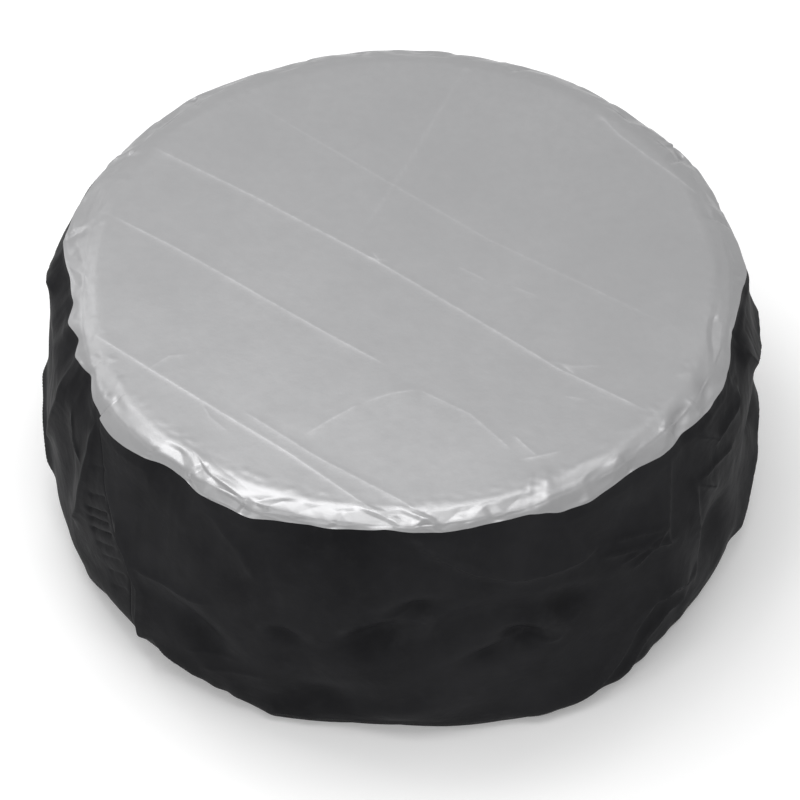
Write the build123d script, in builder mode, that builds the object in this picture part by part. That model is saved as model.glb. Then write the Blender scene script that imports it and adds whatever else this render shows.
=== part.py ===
"""A round fitted cover for a free-standing spa, in millimetres, standing on its hem.

+Z is up, the origin is the centre of the hem on the floor, and -Y is the front.
Every cloth layer is drawn with cloth_thickness, which is thicker than the real cloth.
"""

import os
from math import degrees

from build123d import *

os.makedirs("parts", exist_ok=True)

# overall size
cover_diameter = 1800
cover_height = 760

# the layers
cloth_thickness = 3
tape_thickness = 1.5
thread_thickness = 1.2
thread_width = 3

# the top and its rounded rim
flat_radius = 788  # where the flat top starts to curve down
seam_radius = 851
seam_drop = 34  # from the flat top down to the rim seam

# the skirt
widest_drop = 350  # from the flat top down to where the wall is widest
gather_height = 180  # below this the elastic draws the wall in
hem_radius = 848
side_seams = {"left": 210, "right": 30}  # azimuth of each side seam, from +X

# the hem tunnel and its elastic
hem_height = 38
tunnel_gap = 5
elastic_width = 25
elastic_thickness = 2
splice_length = 40

# the seam tapes, each stitched down along both its edges
rim_tape_width = 30
side_tape_width = 26
stitch_margin = 5

wall_radius = cover_diameter / 2
seam_z = cover_height - seam_drop
widest_z = cover_height - widest_drop
rim_tape_bottom = seam_z - rim_tape_width / 2
rim_tape_top = seam_z + rim_tape_width / 2
hem_inner_radius = hem_radius - 2 * cloth_thickness - tunnel_gap
elastic_inner_radius = hem_inner_radius + cloth_thickness
tape_face = cloth_thickness + tape_thickness
thread_face = tape_face + thread_thickness


def half_plane(azimuth):
    """The upright plane through the axis whose local x is the radius at this azimuth."""
    outwards = Vector(1, 0, 0).rotate(Axis.Z, azimuth)
    return Plane(origin=(0, 0, 0), x_dir=outwards, z_dir=outwards.cross(Vector(0, 0, 1)))


def arc_angle(length, radius):
    """The angle in degrees that a length takes up around the axis."""
    return degrees(length / radius)


def outline(depth):
    """Half of the cover's section, closed along the axis, at a depth inside its outer face."""
    top_z = cover_height - depth
    wall_r = wall_radius - depth
    hem_r = hem_radius - depth
    seam_point = (seam_radius - depth, seam_z)
    flat = Line((0, top_z), (flat_radius, top_z))
    TangentArc(flat @ 1, seam_point, tangent=flat % 1)
    wall = Line((wall_r, widest_z), (wall_r, gather_height))
    hem = Line((hem_r, hem_height), (hem_r, 0))
    TangentArc(wall @ 0, seam_point, tangent=-(wall % 0))
    TangentArc(wall @ 1, hem @ 0, tangent=wall % 1)
    Polyline(hem @ 1, (0, 0), (0, top_z))


def layer_section(azimuth, near, far, lowest, highest):
    """The section of a layer between two depths and two heights."""
    with BuildSketch(half_plane(azimuth)) as section:
        with BuildLine():
            outline(near)
        make_face()
        with BuildLine():
            outline(far)
        make_face(mode=Mode.SUBTRACT)
        with Locations((0, (lowest + highest) / 2)):
            Rectangle(2 * cover_diameter, highest - lowest, mode=Mode.INTERSECT)
    return section.sketch


def ring_section(azimuth, inner_radius, thickness, middle_z, height):
    """The section of a plain upright band."""
    with BuildSketch(half_plane(azimuth)) as section:
        with Locations((inner_radius + thickness / 2, middle_z)):
            Rectangle(thickness, height)
    return section.sketch


def skirt_section(azimuth):
    """The skirt wall with its lower edge folded up inside and closed as a tunnel."""
    folded_width = hem_radius - hem_inner_radius
    with BuildSketch() as folded_hem:
        with Locations((hem_inner_radius + folded_width / 2, hem_height / 2)):
            Rectangle(folded_width, hem_height)
    with BuildSketch() as tunnel:
        with Locations((hem_inner_radius + folded_width / 2, hem_height / 2)):
            Rectangle(tunnel_gap, hem_height - 2 * cloth_thickness)
    plane = half_plane(azimuth)
    wall = layer_section(azimuth, 0, cloth_thickness, 0, seam_z)
    return wall + plane * folded_hem.sketch - plane * tunnel.sketch


# the silver top, one cut of cloth eased over the rim
with BuildPart() as top_panel:
    add(layer_section(0, 0, cloth_thickness, seam_z, cover_height))
    revolve(axis=Axis.Z)

top_panel.part.label = "top_panel"
export_step(top_panel.part, "parts/top_panel.step")

# the two halves of the skirt, which meet at the side seams
for name, start in {"front": side_seams["left"], "back": side_seams["right"]}.items():
    with BuildPart() as skirt_panel:
        add(skirt_section(start))
        revolve(axis=Axis.Z, revolution_arc=180)

    skirt_panel.part.label = f"skirt_{name}_panel"
    export_step(skirt_panel.part, f"parts/skirt_{name}_panel.step")

# the tape that covers the rim seam inside
with BuildPart() as rim_seam_tape:
    add(layer_section(0, cloth_thickness, tape_face, rim_tape_bottom, rim_tape_top))
    revolve(axis=Axis.Z)

rim_seam_tape.part.label = "rim_seam_tape"
export_step(rim_seam_tape.part, "parts/rim_seam_tape.step")

# its two rows of stitching
with BuildPart() as rim_seam_thread:
    for row_z in (rim_tape_bottom + stitch_margin, rim_tape_top - stitch_margin):
        row_low = row_z - thread_width / 2
        row_high = row_z + thread_width / 2
        add(layer_section(0, tape_face, thread_face, row_low, row_high))
    revolve(axis=Axis.Z)

rim_seam_thread.part.label = "rim_seam_thread"
export_step(rim_seam_thread.part, "parts/rim_seam_thread.step")

# each side seam: a tape from the hem tunnel up to the rim tape, with a row of stitching along each edge
tape_angle = arc_angle(side_tape_width, wall_radius)
thread_angle = arc_angle(thread_width, wall_radius)
row_offset = arc_angle(side_tape_width / 2 - stitch_margin, wall_radius)
for side, azimuth in side_seams.items():
    with BuildPart() as side_seam_tape:
        start = azimuth - tape_angle / 2
        add(layer_section(start, cloth_thickness, tape_face, hem_height, rim_tape_bottom))
        revolve(axis=Axis.Z, revolution_arc=tape_angle)

    side_seam_tape.part.label = f"side_seam_tape_{side}"
    export_step(side_seam_tape.part, f"parts/side_seam_tape_{side}.step")

    with BuildPart() as side_seam_thread:
        for row in (azimuth - row_offset, azimuth + row_offset):
            start = row - thread_angle / 2
            add(layer_section(start, tape_face, thread_face, hem_height, rim_tape_bottom))
        revolve(axis=Axis.Z, revolution_arc=thread_angle)

    side_seam_thread.part.label = f"side_seam_thread_{side}"
    export_step(side_seam_thread.part, f"parts/side_seam_thread_{side}.step")

# the elastic, which lies against the inner side of the hem tunnel
with BuildPart() as hem_elastic:
    add(ring_section(0, elastic_inner_radius, elastic_thickness, hem_height / 2, elastic_width))
    revolve(axis=Axis.Z)

hem_elastic.part.label = "hem_elastic"
export_step(hem_elastic.part, "parts/hem_elastic.step")

# the end of the elastic, lapped over its start and sewn at the right side seam
splice_radius = elastic_inner_radius + elastic_thickness
splice_angle = arc_angle(splice_length, splice_radius)
with BuildPart() as elastic_splice:
    start = side_seams["right"] - splice_angle / 2
    add(ring_section(start, splice_radius, elastic_thickness, hem_height / 2, elastic_width))
    revolve(axis=Axis.Z, revolution_arc=splice_angle)

elastic_splice.part.label = "elastic_splice"
export_step(elastic_splice.part, "parts/elastic_splice.step")

# the row of stitching that closes the hem tunnel
with BuildPart() as hem_thread:
    add(ring_section(0, hem_radius, thread_thickness, hem_height - thread_width / 2, thread_width))
    revolve(axis=Axis.Z)

hem_thread.part.label = "hem_thread"
export_step(hem_thread.part, "parts/hem_thread.step")
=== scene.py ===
"""A round fitted spa cover: silver top, black skirt and gathered hem, draped over a hidden spa as cloth."""

import math

import bmesh
import bpy
import numpy as np
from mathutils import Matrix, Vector


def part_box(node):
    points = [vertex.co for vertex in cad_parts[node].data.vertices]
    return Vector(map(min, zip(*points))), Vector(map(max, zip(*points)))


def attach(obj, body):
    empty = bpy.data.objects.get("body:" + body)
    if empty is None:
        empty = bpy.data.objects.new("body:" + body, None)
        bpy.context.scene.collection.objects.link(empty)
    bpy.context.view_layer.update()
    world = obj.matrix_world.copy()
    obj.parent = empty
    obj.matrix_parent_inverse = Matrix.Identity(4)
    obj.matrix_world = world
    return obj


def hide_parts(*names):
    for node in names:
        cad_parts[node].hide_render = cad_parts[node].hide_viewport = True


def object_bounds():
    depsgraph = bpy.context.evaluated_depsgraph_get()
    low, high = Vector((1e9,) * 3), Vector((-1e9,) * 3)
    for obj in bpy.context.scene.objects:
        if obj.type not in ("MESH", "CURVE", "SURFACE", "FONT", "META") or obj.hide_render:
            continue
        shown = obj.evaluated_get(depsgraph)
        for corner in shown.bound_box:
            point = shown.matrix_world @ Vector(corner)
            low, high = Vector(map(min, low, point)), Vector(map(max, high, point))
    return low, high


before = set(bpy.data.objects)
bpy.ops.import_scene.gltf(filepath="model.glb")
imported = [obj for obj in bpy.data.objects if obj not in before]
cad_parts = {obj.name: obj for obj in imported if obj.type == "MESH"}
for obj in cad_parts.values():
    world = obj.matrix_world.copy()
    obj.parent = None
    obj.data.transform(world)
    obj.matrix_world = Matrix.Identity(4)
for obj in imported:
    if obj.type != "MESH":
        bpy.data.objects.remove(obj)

CAD_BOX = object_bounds()
BODY = "root"

# ---- sizes from the frame, in metres ----
COVER_HEIGHT = CAD_BOX[1].z
WALL_RADIUS = CAD_BOX[1].x
SEAM_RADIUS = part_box("top_panel")[1].x
SEAM_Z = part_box("top_panel")[0].z
HEM_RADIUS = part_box("hem_elastic")[1].x + 0.006
HEM_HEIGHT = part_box("hem_thread")[1].z

# ---- the fitted shape ----
FLAT_RADIUS = 0.788  # where the flat top starts to curve down to the rim seam
WIDEST_Z = 0.41  # the wall is widest from here ...
GATHER_Z = 0.18  # ... down to here, where the elastic starts to draw it in
EDGE_SOFTNESS = 0.0028  # how tightly the cloth turns over the edge of the flat top
NARROWEST_BAND = 0.008  # between that edge and the rim seam
SHOULDER = 0.055  # the top already slopes down over this width before its edge ...
SHOULDER_TURN = 0.45  # ... reaching its slope over this share of that width
SHOULDER_SLOPE = 0.29
HELD_RADIUS = 0.735  # inside this the top lies flat on the spa's lid
LEFT_SEAM = 217.0  # azimuth of the left side seam at mid-height, in degrees
CLOTH = 0.0008  # thickness of the cloth

TAU = 2 * math.pi


def smooth(low, high, x):
    """0 below low, 1 above high, and a smooth step between them. low may be above high."""
    t = np.clip((np.asarray(x, float) - low) / (high - low), 0, 1)
    return t * t * (3 - 2 * t)


def bell(x, width):
    return np.exp(-((np.asarray(x, float) / width) ** 2))


def turn(degrees_from, degrees_to):
    """The signed angle between azimuths, from -180 to 180 degrees."""
    return (np.asarray(degrees_to, float) - degrees_from + 180) % 360 - 180


def running_total(steps):
    """The steps added up, from 0."""
    return np.concatenate([[0], np.cumsum(steps)])


def heading(angles):
    """Unit vectors outwards from the axis, flat, at angles in radians."""
    return np.stack([np.cos(angles), np.sin(angles), 0 * angles], -1)


def polar(points):
    """Radius and angle in radians of points round the axis."""
    return np.hypot(points[..., 0], points[..., 1]), np.arctan2(points[..., 1], points[..., 0])


# ---------------------------------------------------------------- profile


def arc_from_upright(upright, end, steps=10):
    """Points (r, z) of the arc that starts upright at one point and passes through another."""
    dr, dz = end[0] - upright[0], end[1] - upright[1]
    radius = (dr * dr + dz * dz) / (-2 * dr)
    angles = np.linspace(0, math.asin(abs(dz) / radius), steps)
    r = upright[0] - radius + radius * np.cos(angles)
    z = upright[1] + np.sign(dz) * radius * np.sin(angles)
    return list(zip(r, z))


def fitted_profile():
    """(r, z) of the outer face from the hem up to the held flat, and the arc length at the rim seam."""
    lower = arc_from_upright((WALL_RADIUS, GATHER_Z), (HEM_RADIUS, HEM_HEIGHT))
    upper = arc_from_upright((WALL_RADIUS, WIDEST_Z), (SEAM_RADIUS, SEAM_Z))
    drop, reach = COVER_HEIGHT - SEAM_Z, SEAM_RADIUS - FLAT_RADIUS
    rim_radius = (drop * drop + reach * reach) / (2 * drop)
    angles = np.linspace(math.asin(reach / rim_radius), 0, 10)
    rim_r = FLAT_RADIUS + rim_radius * np.sin(angles)
    rim_z = COVER_HEIGHT - rim_radius + rim_radius * np.cos(angles)
    skirt = [(HEM_RADIUS, 0.0)] + lower[::-1] + upper
    points = np.array(skirt + list(zip(rim_r, rim_z))[1:] + [(HELD_RADIUS, COVER_HEIGHT)])
    lengths = running_total(np.hypot(*np.diff(points, axis=0).T))
    return points, lengths, lengths[len(skirt) - 1]


def at_length(points, lengths, s):
    return np.interp(s, lengths, points[:, 0]), np.interp(s, lengths, points[:, 1])


# ---------------------------------------------------------------- mesh helpers


def grid_faces(rows, columns, closed=True, offset=0):
    """Quads of a grid whose vertices run along each row; closed joins the last column to the first."""
    index = offset + np.arange(rows * columns).reshape(rows, columns)
    right = np.roll(index, -1, 1)
    quads = np.stack([index[:-1], right[:-1], right[1:], index[1:]], -1)
    if not closed:
        quads = quads[:, :-1]
    return quads.reshape(-1, 4).tolist()


def coordinates(mesh):
    co = np.zeros(len(mesh.vertices) * 3)
    mesh.vertices.foreach_get("co", co)
    return co.reshape(-1, 3)


def flat_square(side):
    """Vertices and faces of a square on the floor; side is half its width."""
    return [(-side, -side, 0), (side, -side, 0), (side, side, 0), (-side, side, 0)], [(0, 1, 2, 3)]


def mesh_object(name, vertices, faces):
    mesh = bpy.data.meshes.new(name)
    mesh.from_pydata(np.asarray(vertices, float).reshape(-1, 3).tolist(), [], faces)
    mesh.polygons.foreach_set("use_smooth", [True] * len(mesh.polygons))
    mesh.update()
    piece = bpy.data.objects.new(name, mesh)
    bpy.context.scene.collection.objects.link(piece)
    return piece


def revolved(r, z, angles):
    """Grid of points of a revolved profile, one row per profile point."""
    r, z = np.asarray(r, float)[:, None], np.asarray(z, float)[:, None]
    return np.stack([r * np.cos(angles), r * np.sin(angles), np.repeat(z, len(angles), 1)], -1)


# ---------------------------------------------------------------- cloth simulation

SIM_COLUMNS = 360
SIM_FRAMES = 32


def waves(rng, angles, lengths, highest, count=36):
    """Seeded smooth noise over the cloth, about 1 high."""
    total = np.zeros((len(lengths), len(angles)))
    for _ in range(count):
        around = rng.integers(2, highest)
        along = rng.uniform(-5, 5)
        total += np.cos(around * angles[None] + along * TAU * lengths[:, None] + rng.uniform(0, TAU))
    return total / math.sqrt(count / 2)


def cut_shape(points, lengths, seam_length, s):
    """The radius and height that each row was cut to: looser than the spa, so that it wrinkles."""
    r, _ = at_length(points, lengths, s)
    below = s < seam_length - 1e-4
    wall = (WALL_RADIUS + (SEAM_RADIUS - WALL_RADIUS) * smooth(seam_length - 0.3, seam_length, s)) * 1.013
    wall = wall - (WALL_RADIUS - HEM_RADIUS - 0.010) * smooth(0.16, 0.0, s)
    eased = r * (1 + 0.040 * smooth(seam_length + 0.11, seam_length + 0.03, s))
    cut_r = np.where(below, wall, np.where(s > seam_length + 1e-4, eased, SEAM_RADIUS * 1.004))
    cut_step = np.diff(s) * np.where(s[1:] < seam_length, 1.016, 1.004)
    rise = np.sqrt(np.maximum(cut_step**2 - np.diff(cut_r) ** 2, 1e-7))
    return cut_r, running_total(rise)


def add_collider(name, vertices, faces, gap, friction):
    collider = mesh_object(name, vertices, faces)
    collider.modifiers.new("collision", "COLLISION")
    collider.collision.thickness_outer = gap
    collider.collision.cloth_friction = friction
    return collider


def drape():
    """Simulates the cloth over the spa. Returns the grid of points, its row lengths and its seam length."""
    rng = np.random.default_rng(11)
    points, lengths, seam_length = fitted_profile()
    angles = np.arange(SIM_COLUMNS) / SIM_COLUMNS * TAU
    step = TAU * WALL_RADIUS / SIM_COLUMNS
    rows_below = round(seam_length / step)
    rows_above = round((lengths[-1] - seam_length) / step)
    below = np.linspace(0, seam_length, rows_below + 1)
    s = np.concatenate([below, np.linspace(seam_length, lengths[-1], rows_above + 1)[1:]])
    r, z = at_length(points, lengths, s)
    start = revolved(r + 0.003, z + 0.002, angles)
    free = smooth(0.0, 0.06, s)[:, None] * smooth(lengths[-1], lengths[-1] - 0.1, s)[:, None]
    start += (0.003 * waves(rng, angles, s, 34) * free)[..., None] * heading(angles)
    hem_wave = sum(np.cos(k * angles + rng.uniform(0, TAU)) / math.sqrt(k) for k in (2, 3, 5, 8, 13, 21))
    hem_turn = 0.012 * sum(np.cos(k * angles + rng.uniform(0, TAU)) for k in (1, 3, 4, 7)) / 2
    hem_r = HEM_RADIUS + 0.0035 * hem_wave
    for row in (0, 1):
        start[row, :, 0] = hem_r * np.cos(angles + hem_turn)
        start[row, :, 1] = hem_r * np.sin(angles + hem_turn)
    cut_r, cut_z = cut_shape(points, lengths, seam_length, s)
    faces = grid_faces(len(s), SIM_COLUMNS)
    cover = mesh_object("draped_cover", start, faces)
    cover.shape_key_add(name="Basis")
    cut = cover.shape_key_add(name="cut")
    cut.data.foreach_set("co", revolved(cut_r, cut_z, angles).reshape(-1))
    pinned = cover.vertex_groups.new(name="pinned")
    index = np.arange(len(s) * SIM_COLUMNS).reshape(len(s), -1)
    pinned.add(np.concatenate([index[:2], index[-2:]]).reshape(-1).tolist(), 1.0, "ADD")

    cloth = cover.modifiers.new("cloth", "CLOTH")
    settings = cloth.settings
    settings.quality = 6
    settings.mass = 0.15
    settings.air_damping = 1.5
    settings.tension_stiffness = 30
    settings.compression_stiffness = 30
    settings.shear_stiffness = 12
    settings.bending_stiffness = 4.0
    settings.tension_damping = settings.compression_damping = settings.shear_damping = 8
    settings.bending_damping = 0.8
    settings.vertex_group_mass = "pinned"
    settings.rest_shape_key = cut
    cloth.collision_settings.distance_min = 0.003
    cloth.collision_settings.collision_quality = 3
    cloth.collision_settings.use_self_collision = False

    spa_r = points[:, 0] - 0.006 - 0.030 * smooth(0.42, 0.12, points[:, 1])
    spa_z = np.minimum(points[:, 1], COVER_HEIGHT - 0.0025)
    spa_r = np.append(spa_r, 0.01)
    spa_z = np.append(spa_z, COVER_HEIGHT - 0.0025)
    spa_angles = np.arange(128) / 128 * TAU
    spa = add_collider("spa", revolved(spa_r, spa_z, spa_angles), grid_faces(len(spa_r), 128), 0.002, 12)
    ground = add_collider("ground", *flat_square(3 * WALL_RADIUS), 0.001, 20)

    cloth.point_cache.frame_start = 1
    cloth.point_cache.frame_end = SIM_FRAMES
    for step_number in range(1, SIM_FRAMES + 1):
        bpy.context.scene.frame_set(step_number)
    evaluated = cover.evaluated_get(bpy.context.evaluated_depsgraph_get()).to_mesh()
    settled = coordinates(evaluated)
    for helper in (cover, spa, ground):
        bpy.data.objects.remove(helper)
    bpy.context.scene.frame_set(1)
    return settled.reshape(len(s), SIM_COLUMNS, 3), s, seam_length


# ---------------------------------------------------------------- refining the draped grid

COLUMNS = 1200  # around the finished cloth, a multiple of 16
HALF = COLUMNS // 2  # the column of the right side seam
FULLEST_GATHERS = 245.0  # azimuth
SMOOTHEST_RIM = 203.0  # azimuth
SMOOTH_RIM_RIGHT = 352.0
FACET_WIDTH = 0.045  # of the gathered band above the rim seam
SIDE_SEAMS = {"left": LEFT_SEAM, "right": LEFT_SEAM - 180}


def resampled(values, places, periodic=False):
    """Smooth values at fractional places along the first axis."""
    values = np.asarray(values, float)
    places = np.asarray(places, float)
    count = len(values)
    if not periodic:
        first, last = 2 * values[:1] - values[1:2], 2 * values[-1:] - values[-2:-1]
        values = np.concatenate([first, values, last])
        low = np.clip(np.floor(places).astype(int), 0, count - 2)
        at = [values[low + k] for k in range(4)]
    else:
        low = np.floor(places).astype(int)
        at = [values[(low + k) % count] for k in (-1, 0, 1, 2)]
    f = (places - low).reshape([-1] + [1] * (values.ndim - 1))
    a, b, c, d = at
    return 0.5 * (2 * b + (c - a) * f + (2 * a - 5 * b + 4 * c - d) * f**2 + (3 * b - a - 3 * c + d) * f**3)


def column_azimuths():
    """Azimuths of the finished columns from the left side seam round, as many on each panel, closer together
    at the side seams and where the rim is most gathered."""
    fine = np.linspace(0, 360, 7201)
    density = 1 + 2.0 * sum(bell(turn(seam - LEFT_SEAM, fine), 3.0) for seam in SIDE_SEAMS.values())
    for fullest in (FULLEST_GATHERS, FULLEST_GATHERS + 180):
        density += 0.7 * bell(turn(fullest - LEFT_SEAM, fine), 50)
    total = running_total((density[1:] + density[:-1]) / 2)
    return LEFT_SEAM + np.interp(np.arange(COLUMNS) / COLUMNS * total[-1], total, fine)


def unit(vectors):
    return vectors / np.maximum(np.linalg.norm(vectors, axis=-1, keepdims=True), 1e-12)


def grid_normals(grid):
    """Outward normals of a grid that closes around the axis."""
    around = np.roll(grid, -1, 1) - np.roll(grid, 1, 1)
    along = np.gradient(grid, axis=0)
    return unit(np.cross(around, along))


# ---------------------------------------------------------------- listed folds


def segments(u, v, path):
    """For each straight stretch of a path: the distance from it, the side (positive on its left) and the place
    along the path, from 0 to 1."""
    path = np.asarray(path, float)
    spans = np.hypot(*np.diff(path, axis=0).T)
    starts = running_total(spans)
    for (a, b), span, begun in zip(zip(path[:-1], path[1:]), spans, starts):
        du, dv = (b - a) / span
        t = np.clip((u - a[0]) * du + (v - a[1]) * dv, 0, span)
        distance = np.hypot(u - a[0] - t * du, v - a[1] - t * dv)
        side = (v - a[1]) * du - (u - a[0]) * dv
        yield distance, side, (begun + t) / starts[-1]


def stroke(u, v, path, height, near, far, taper):
    """A crest along a path over the surface coordinates u and v, falling off over near on its left side and
    over far on its right side, and fading out over taper of its length at each end. A negative height makes
    a valley."""
    best = np.full(np.shape(u), 1e9)
    side = np.zeros(np.shape(u))
    along = np.zeros(np.shape(u))
    for distance, this_side, share in segments(u, v, path):
        closer = distance < best
        best = np.where(closer, distance, best)
        side = np.where(closer, this_side, side)
        along = np.where(closer, share, along)
    fade = smooth(0, taper, along) * smooth(1, 1 - taper, along)
    return height * fade * np.exp(-((best / np.where(side >= 0, near, far)) ** 1.1))


def tuck(u, v, path, height, near, far):
    """A sharp fold along a path with a flat facet on each side, near wide on its left and far on its right."""
    relief = np.zeros(np.broadcast(u, v).shape)
    for distance, side, share in segments(u, v, path):
        fade = np.minimum(1, np.minimum(share, 1 - share) / 0.3)
        relief = np.maximum(relief, fade * np.clip(1 - distance / np.where(side >= 0, near, far), 0, 1))
    return height * relief


def dent(u, v, size, depth, lean):
    """A soft hollow round (0, 0); lean turns its long axis, in degrees."""
    c, s = math.cos(math.radians(lean)), math.sin(math.radians(lean))
    a, b = (u * c + v * s) / size[0], (v * c - u * s) / size[1]
    return -depth * np.exp(-(a * a + b * b))


def unrolled(azimuth, path, radius):
    """Azimuths, and the azimuths of a path, as distances round the cover from where the path starts."""
    per_degree, centre = math.radians(radius), path[0][0]
    return turn(centre, azimuth) * per_degree, [((a - centre) * per_degree, v) for a, v in path]


FOLD_STRENGTH = 1.75
DENT_STRENGTH = 2.5


def skirt_relief(azimuth, z):
    """Outward relief of the skirt, in metres, at azimuths in degrees and heights in metres."""
    relief = 0.0042 * facets(azimuth, z, 21, 15.0, 34) + 0.0038 * facets(azimuth, z, 34, 19.0, -46)
    relief = relief * smooth(0.74, 0.60, z) * smooth(0.0, 0.15, z)
    for path, height, near, far, taper in SKIRT_STROKES:
        u, path = unrolled(azimuth, path, WALL_RADIUS)
        relief += stroke(u, z, path, FOLD_STRENGTH * height, near, far, taper)
    for (a, h), size, depth, lean in SKIRT_DENTS:
        relief += dent(turn(a, azimuth) * math.radians(WALL_RADIUS), z - h, size, DENT_STRENGTH * depth, lean)
    return relief


# path of (azimuth, height), height of the crest, its fall-off on the left and the right of the path, taper
SKIRT_STROKES = [
    # the swag below the front of the rim
    ([(268, 0.74), (272, 0.70), (276, 0.668), (282, 0.61), (288, 0.575), (295, 0.565), (303, 0.57)],
     0.0125, 0.060, 0.012, 0.12),
    # the diagonal fold down from the rim, front left
    ([(235, 0.72), (240, 0.68), (245, 0.60), (248, 0.52)], 0.007, 0.016, 0.045, 0.2),
    # the fold that runs off the left side seam
    ([(222.5, 0.36), (228, 0.375), (234, 0.385), (241, 0.395)], 0.009, 0.016, 0.060, 0.25),
    # the ridge beside the left side seam
    ([(219, 0.47), (222.5, 0.38), (225, 0.28), (224.5, 0.16), (224, 0.05)], 0.012, 0.030, 0.010, 0.15),
    # the strip left of the side seam
    ([(211.5, 0.70), (212, 0.60), (211, 0.50), (208, 0.34), (205, 0.24)], 0.009, 0.014, 0.030, 0.15),
    ([(199, 0.71), (198.8, 0.59), (194, 0.41), (190, 0.30)], 0.008, 0.020, 0.030, 0.2),
    # puckers drawn between that strip and the seam
    ([(212.5, 0.560), (216.8, 0.600)], -0.0025, 0.006, 0.010, 0.25),
    ([(211.8, 0.455), (217.2, 0.510)], -0.0035, 0.007, 0.010, 0.2),
    ([(210.5, 0.385), (217.8, 0.458)], -0.0055, 0.007, 0.009, 0.2),
    ([(210.5, 0.350), (218.2, 0.426)], -0.0060, 0.006, 0.008, 0.2),
    ([(211.0, 0.318), (218.8, 0.396)], -0.0055, 0.006, 0.009, 0.2),
    ([(212.5, 0.290), (219.4, 0.356)], -0.0028, 0.006, 0.010, 0.25),
    ([(214.0, 0.258), (220.2, 0.316)], -0.0024, 0.006, 0.010, 0.25),
    ([(215.0, 0.215), (221.0, 0.270)], -0.0022, 0.006, 0.010, 0.25),
    ([(216.0, 0.170), (221.0, 0.220)], -0.0020, 0.006, 0.010, 0.25),
    # small creases that run out of the two deep dents
    ([(266.5, 0.455), (270, 0.480), (273.5, 0.505)], 0.0040, 0.007, 0.012, 0.3),
    ([(271.5, 0.455), (273.5, 0.480), (275.5, 0.475)], 0.0036, 0.006, 0.009, 0.3),
    ([(273.5, 0.440), (274.0, 0.475), (274.5, 0.505)], 0.0034, 0.006, 0.009, 0.3),
    ([(284.5, 0.345), (288.5, 0.340), (292.0, 0.365)], 0.0040, 0.007, 0.010, 0.3),
    ([(288.0, 0.300), (289.5, 0.335), (289.0, 0.370)], 0.0034, 0.006, 0.009, 0.3),
    ([(290.0, 0.330), (293.5, 0.310), (296.5, 0.320)], 0.0034, 0.006, 0.010, 0.3),
    ([(236, 0.115), (243, 0.165), (250, 0.195)], 0.0032, 0.010, 0.020, 0.25),
    ([(233, 0.150), (239, 0.190), (245, 0.215)], 0.0028, 0.010, 0.020, 0.25),
    ([(203, 0.63), (206, 0.56), (211, 0.53)], 0.004, 0.008, 0.012, 0.3),
    # fine crossing creases, front right
    ([(302, 0.535), (309, 0.50), (319, 0.43)], 0.0055, 0.007, 0.010, 0.2),
    ([(305, 0.557), (311, 0.53), (316, 0.50)], 0.005, 0.006, 0.010, 0.2),
    ([(306, 0.47), (312, 0.49), (317, 0.50)], 0.005, 0.006, 0.009, 0.25),
    ([(308, 0.43), (313, 0.47), (316, 0.50)], 0.005, 0.006, 0.009, 0.25),
    # the upright crease lines on the right
    ([(318, 0.71), (317.2, 0.60), (316.2, 0.50), (316, 0.42)], 0.0045, 0.006, 0.020, 0.15),
    ([(323, 0.60), (323.5, 0.45), (325, 0.30), (325, 0.14)], 0.005, 0.007, 0.022, 0.2),
    ([(312, 0.30), (318, 0.25), (325, 0.18)], 0.004, 0.006, 0.014, 0.25),
    # the long curved folds at the lower right
    ([(288, 0.02), (296, 0.03), (302, 0.06), (306, 0.13), (309, 0.22), (313, 0.28), (318, 0.27), (324, 0.22)],
     0.016, 0.080, 0.020, 0.12),
    ([(304, 0.01), (309, 0.05), (312, 0.15), (317, 0.19), (324, 0.16)], 0.010, 0.026, 0.016, 0.15),
    # the slack patch under the rim on the right
    ([(322, 0.73), (327, 0.66), (331, 0.60), (337, 0.61), (341, 0.66)], 0.008, 0.030, 0.012, 0.15),
    ([(322, 0.577), (327, 0.50), (331, 0.44)], 0.005, 0.010, 0.014, 0.25),
    ([(323, 0.56), (330, 0.54), (338, 0.50)], 0.005, 0.009, 0.012, 0.25),
    # the bright roll along the hem, front left
    ([(226, 0.13), (231, 0.075), (238, 0.05), (246, 0.045)], 0.009, 0.050, 0.014, 0.2),
    # folds out of sight of the front
    ([(20, 0.70), (26, 0.60), (30, 0.46), (33, 0.30)], 0.010, 0.030, 0.070, 0.2),
    ([(41, 0.62), (45, 0.45), (47, 0.28), (46, 0.10)], 0.012, 0.024, 0.060, 0.2),
    ([(60, 0.72), (68, 0.62), (78, 0.56), (90, 0.55), (100, 0.60)], 0.012, 0.070, 0.022, 0.15),
    ([(70, 0.05), (80, 0.12), (88, 0.24), (97, 0.31), (108, 0.30)], 0.014, 0.060, 0.040, 0.15),
    ([(112, 0.68), (118, 0.52), (121, 0.36)], 0.009, 0.024, 0.060, 0.2),
    ([(128, 0.10), (138, 0.16), (146, 0.30), (156, 0.38), (168, 0.36)], 0.014, 0.060, 0.040, 0.15),
    ([(150, 0.72), (158, 0.63), (168, 0.60), (180, 0.66)], 0.012, 0.070, 0.022, 0.15),
    ([(176, 0.40), (184, 0.28), (190, 0.14)], 0.011, 0.026, 0.060, 0.2),
    ([(345, 0.70), (350, 0.58), (358, 0.52), (368, 0.55)], 0.012, 0.060, 0.022, 0.15),
    ([(340, 0.06), (350, 0.14), (357, 0.26), (366, 0.30)], 0.014, 0.055, 0.040, 0.15),
]

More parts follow.
